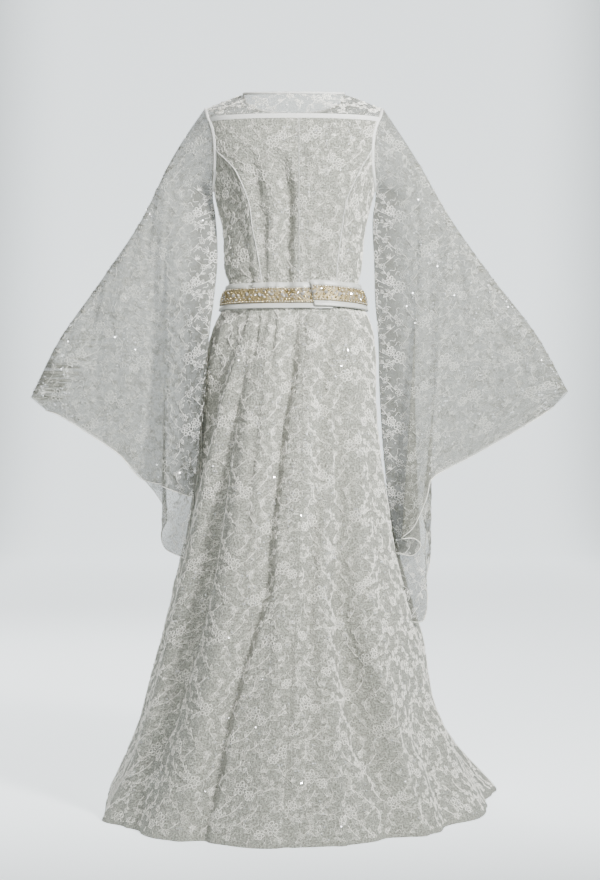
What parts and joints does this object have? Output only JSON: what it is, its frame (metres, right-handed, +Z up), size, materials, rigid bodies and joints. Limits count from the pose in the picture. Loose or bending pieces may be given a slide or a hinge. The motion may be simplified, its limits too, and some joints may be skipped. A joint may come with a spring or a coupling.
{
  "type": "elf maxi dress",
  "caption": "Floor-length elf dress of corded lace with a boat neck, wide hanging sleeves, a beaded belt and a gored skirt with a short train.",
  "frame": {"origin": "midway between the shoulders, where the dress hangs from its wearer", "axes": "+Z up, +Y the wearer's front, +X the wearer's right; the hem stands on the floor 1.374 m under the origin"},
  "size_m": [1.074, 0.852, 1.4091],
  "materials": {
    "lined_lace": "matte",
    "sheer_lace": "matte",
    "seam_tape": "matte",
    "satin": "satin",
    "beadwork": "glossy"
  },
  "bodies": {
    "root": {"armhole_cord_left": "seam_tape", "armhole_cord_right": "seam_tape", "belt_band": "satin", "belt_beaded_strip": "beadwork", "belt_edge_bottom": "satin", "belt_edge_top": "satin", "bodice_back_left": "lined_lace", "bodice_back_right": "lined_lace", "bodice_front": "lined_lace", "bodice_side_back_left": "lined_lace", "bodice_side_back_right": "lined_lace", "bodice_side_front_left": "lined_lace", "bodice_side_front_right": "lined_lace", "lining_edge_back": "seam_tape", "lining_edge_front": "seam_tape", "neck_binding": "seam_tape", "skirt_back_left": "lined_lace", "skirt_back_right": "lined_lace", "skirt_front": "lined_lace", "skirt_side_front_left": "lined_lace", "skirt_side_front_right": "lined_lace", "skirt_side_left": "lined_lace", "skirt_side_right": "lined_lace", "sleeve_left_back": "sheer_lace", "sleeve_left_front": "sheer_lace", "sleeve_right_back": "sheer_lace", "sleeve_right_front": "sheer_lace", "yoke_back": "sheer_lace", "yoke_front": "sheer_lace"}
  },
  "joints": []
}
